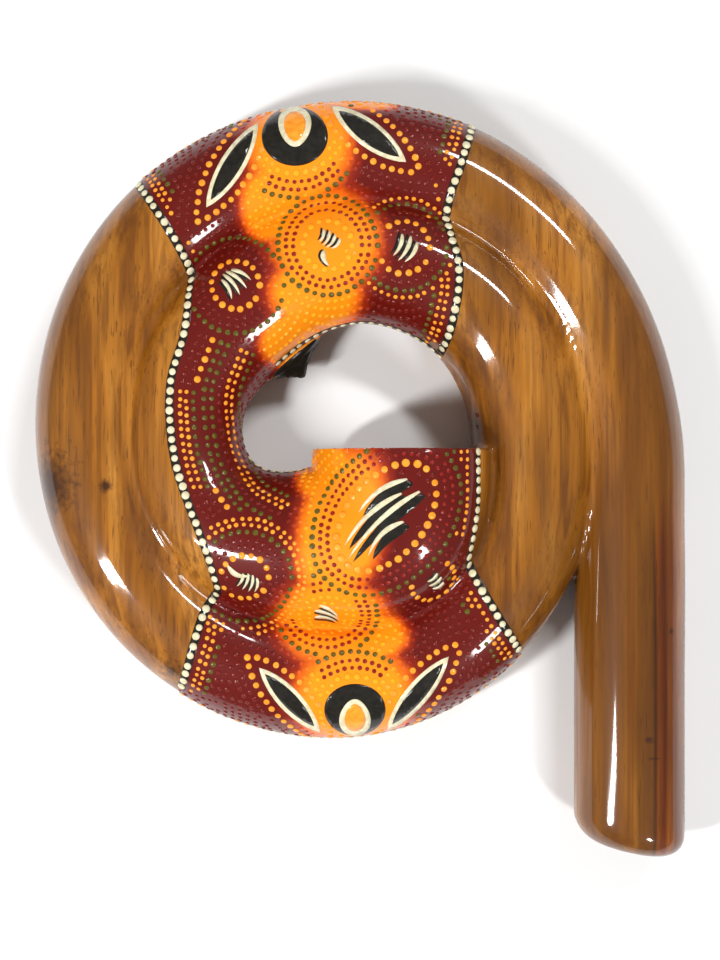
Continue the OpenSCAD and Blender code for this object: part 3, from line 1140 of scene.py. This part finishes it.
def paint_neck():
    """Rows that run along the tube where it turns past the hole towards the bell."""
    along = smooth_line([(-72, 72), (-80, 50), (-80, 28), (-74, 4), (-62, -14), (-44, -24)])
    for away, into, size in (
        (-6.5, orange, BIG_DOT), (-2, olive, 1.45), (2, olive, 1.45), (6, tone, TONE_DOT),
        (9.6, orange, SMALL_DOT), (12.6, orange, SMALL_DOT), (16.4, olive, 1.45),
        (-10.4, tone, TONE_DOT), (-14.2, tone, TONE_DOT),
    ):
        row(into, beside(along, away), size, 2 * size + 1.2)


def fill_between():
    """Raised dots in the ground's own colours over all that is still free."""
    centres = [(-17, 124), (-66, 103), (23, 123), (-34, 182), (-3, -122), (14, -20),
               (-61, -51), (39, -53), (-17, -71), (-80, 40)]
    for i, (cx, cy) in enumerate(centres):
        reach = 6.0
        while reach < 78:
            for x, y in ellipse(cx, cy, reach, reach):
                if not allowed(x, y):
                    continue
                owner = min(range(len(centres)),
                            key=lambda k: math.hypot(x - centres[k][0], y - centres[k][1]))
                if owner != i:
                    continue
                at, normal = seen(x, y)
                if at.z < MID + 3 or off_paint(at) or near_border(x, y):
                    continue
                dot(tone, at, normal, TONE_DOT, gap=0.9)
            reach += RING_GAP
    for run in OUTER_RUNS:
        for i, lean in enumerate((13, 20, 27, 34, 41, 48)):
            into = (orange, tone, tone, olive, tone, tone)[i]
            for at, normal in flank(run, lean, 0.015)[i % 2 :: 2]:
                flat = flat_view(np.array([at]))[0]
                if allowed(*flat) and not near_border(*flat):
                    dot(into, at, normal, TONE_DOT if into is tone else SMALL_DOT, gap=1.0)


def near_border(x, y):
    return plan.edge[plan.at(x, y)]


def off_paint(at):
    """Whether a point is on the bell's cut rim or inside the bore, which carry no paint."""
    cell = tuple(int(round(v)) for v in (np.array(at) - grid.low) / CELL)
    on_rim = RIM_Y - 1.5 < at.y < RIM_Y + 1.5 and RIM_LEFT < at.x < BELL_X + BELL_R
    return on_rim or abs(bore_field[cell]) < BORE_MARGIN


# Where the ground is orange instead of dark red: centre, reach across and up, and turn
EVERY_HEIGHT = 1e6
GLOWS = [
    (-31, 174, 28, 34, 0), (-45, 141, 17, 20, 0), (-17.5, 122.5, 29, 29, 0),
    (-23, 95, 24, 20, 0), (-36, 73, 17, 13, 30), (-4, 199, 24, 7, -8),
    (-9.5, -24, 22, 42, -12), (-18, 4, 15, 18, 0), (-14, -72, 29, 24, 0),
    (5, -80, 20, 13, 0), (-3, -112, 32, 30, 0),
]


def glow_colour(look, lift):
    """Dark red ground that turns to orange in soft-edged patches."""
    total = None
    for cx, cy, rx, ry, turn in GLOWS:
        far = look.far((cx, cy, 0), (rx, ry, EVERY_HEIGHT), turn)
        soft = look.node("MapRange", far, 0.6, 1.38, 1, 0, interpolation_type="SMOOTHSTEP")
        soft = soft.outputs[0]
        total = soft if total is None else look.calc("MAXIMUM", total, soft)
    spray = look.calc("MULTIPLY_ADD", look.noise(260.0, 3.0), 0.3, -0.15)
    return look.ramp(look.calc("ADD", total, spray), [
        (at, tuple(min(v * lift, 1) for v in colour)) for at, colour in (
            (0.05, (0.115, 0.0035, 0.001)),
            (0.35, (0.27, 0.016, 0.002)),
            (0.62, (0.72, 0.115, 0.003)),
            (0.92, (0.93, 0.27, 0.004)),
        )
    ])


def ground_material(name, lift):
    look = Look(name, 0.5, coat=0.7)
    return look.finish(glow_colour(look, lift), look.noise(140.0, 2.0), 0.1, 0.0006)


def plain_paint(name, dark, light):
    """One pot of paint, a little uneven from the brush."""
    look = Look(name, 0.5, coat=0.6)
    brush = look.noise(330.0, 3.0)
    return look.finish(look.ramp(brush, [(0.35, dark), (0.65, light)]), brush, 0.15, 0.0003)


def lay(piece, material):
    piece.data.materials.append(material)
    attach(piece, "root")


paint_borders()
paint_motifs()
paint_rings()
paint_edge_rows()
paint_neck()
fill_between()

cream_look = plain_paint("cream_paint", (0.62, 0.55, 0.34), (0.8, 0.74, 0.52))
orange_look = plain_paint("orange_paint", (0.88, 0.26, 0.012), (0.98, 0.36, 0.03))
olive_look = plain_paint("olive_paint", (0.085, 0.062, 0.003), (0.125, 0.095, 0.007))
red_look = plain_paint("red_paint", (0.2, 0.006, 0.003), (0.29, 0.012, 0.005))
black_look = plain_paint("black_paint", (0.007, 0.006, 0.004), (0.016, 0.013, 0.009))
lay(coat("painted_ground", sash_outline, SASH_LIFT), ground_material("ground_coat", 1.0))
lay(coat("black_web", WEB_OUTLINE, SASH_LIFT + 0.08, MID - 14), black_look)
for name, paint, look in (
    ("border_lines", border_paint, black_look), ("cream_dots", cream, cream_look),
    ("orange_dots", orange, orange_look), ("olive_dots", olive, olive_look),
    ("red_dots", red, red_look), ("ground_dots", tone, ground_material("ground_dots", 1.35)),
    ("black_shapes", black_paint, black_look), ("cream_shapes", cream_paint, cream_look),
    ("orange_shapes", orange_paint, orange_look),
):
    lay(paint.piece(name), look)

# ---------------------------------------------------------------- floor, light and camera

FLOOR_SIZE = 8000.0
# How much the camera sees from top to bottom, at the glue line's height
VIEW_HEIGHT = 508.8


def floor():
    half = FLOOR_SIZE / 2
    corners = [(-half, -half, 0), (half, -half, 0), (half, half, 0), (-half, half, 0)]
    plane = new_mesh("floor", corners, [(0, 1, 2, 3)], smooth=False)
    look = Look("floor", 0.9)
    greys = look.ramp(look.grain(4, 1), [(0.3, (0.86, 0.86, 0.86)), (0.7, (0.9, 0.9, 0.9))])
    plane.data.materials.append(look.finish(greys))


def soft_light(name, at, size, power):
    """A lamp that shines at the origin."""
    lamp = bpy.data.lights.new(name, "AREA")
    lamp.shape = "RECTANGLE"
    lamp.size, lamp.size_y = size
    lamp.energy = power
    obj = linked(name, lamp)
    obj.location = at
    obj.rotation_euler = (-Vector(at)).to_track_quat("-Z", "Y").to_euler()


def camera():
    """Straight above the middle, with the whole body in view."""
    data = bpy.data.cameras.new("camera")
    data.sensor_fit = "VERTICAL"
    data.sensor_height = 36.0
    data.lens = data.sensor_height * EYE_HEIGHT / VIEW_HEIGHT
    eye = linked("camera", data)
    eye.location = (0, 0, (MID + EYE_HEIGHT) * MM)
    bpy.context.scene.camera = eye


floor()
camera()
soft_light("window", (-0.8, -0.42, 1.0), (0.09, 0.45), 15)
soft_light("top_box", (0.5, 0.8, 1.1), (0.5, 0.1), 11)
soft_light("low_fill", (0.7, -0.8, 0.9), (0.16, 0.3), 8)
bpy.context.scene.view_settings.view_transform = "Standard"
world = bpy.data.worlds.new("studio")
bpy.context.scene.world = world
world.use_nodes = True
background = world.node_tree.nodes["Background"].inputs
background["Color"].default_value = (1, 1, 1, 1)
background["Strength"].default_value = 0.2
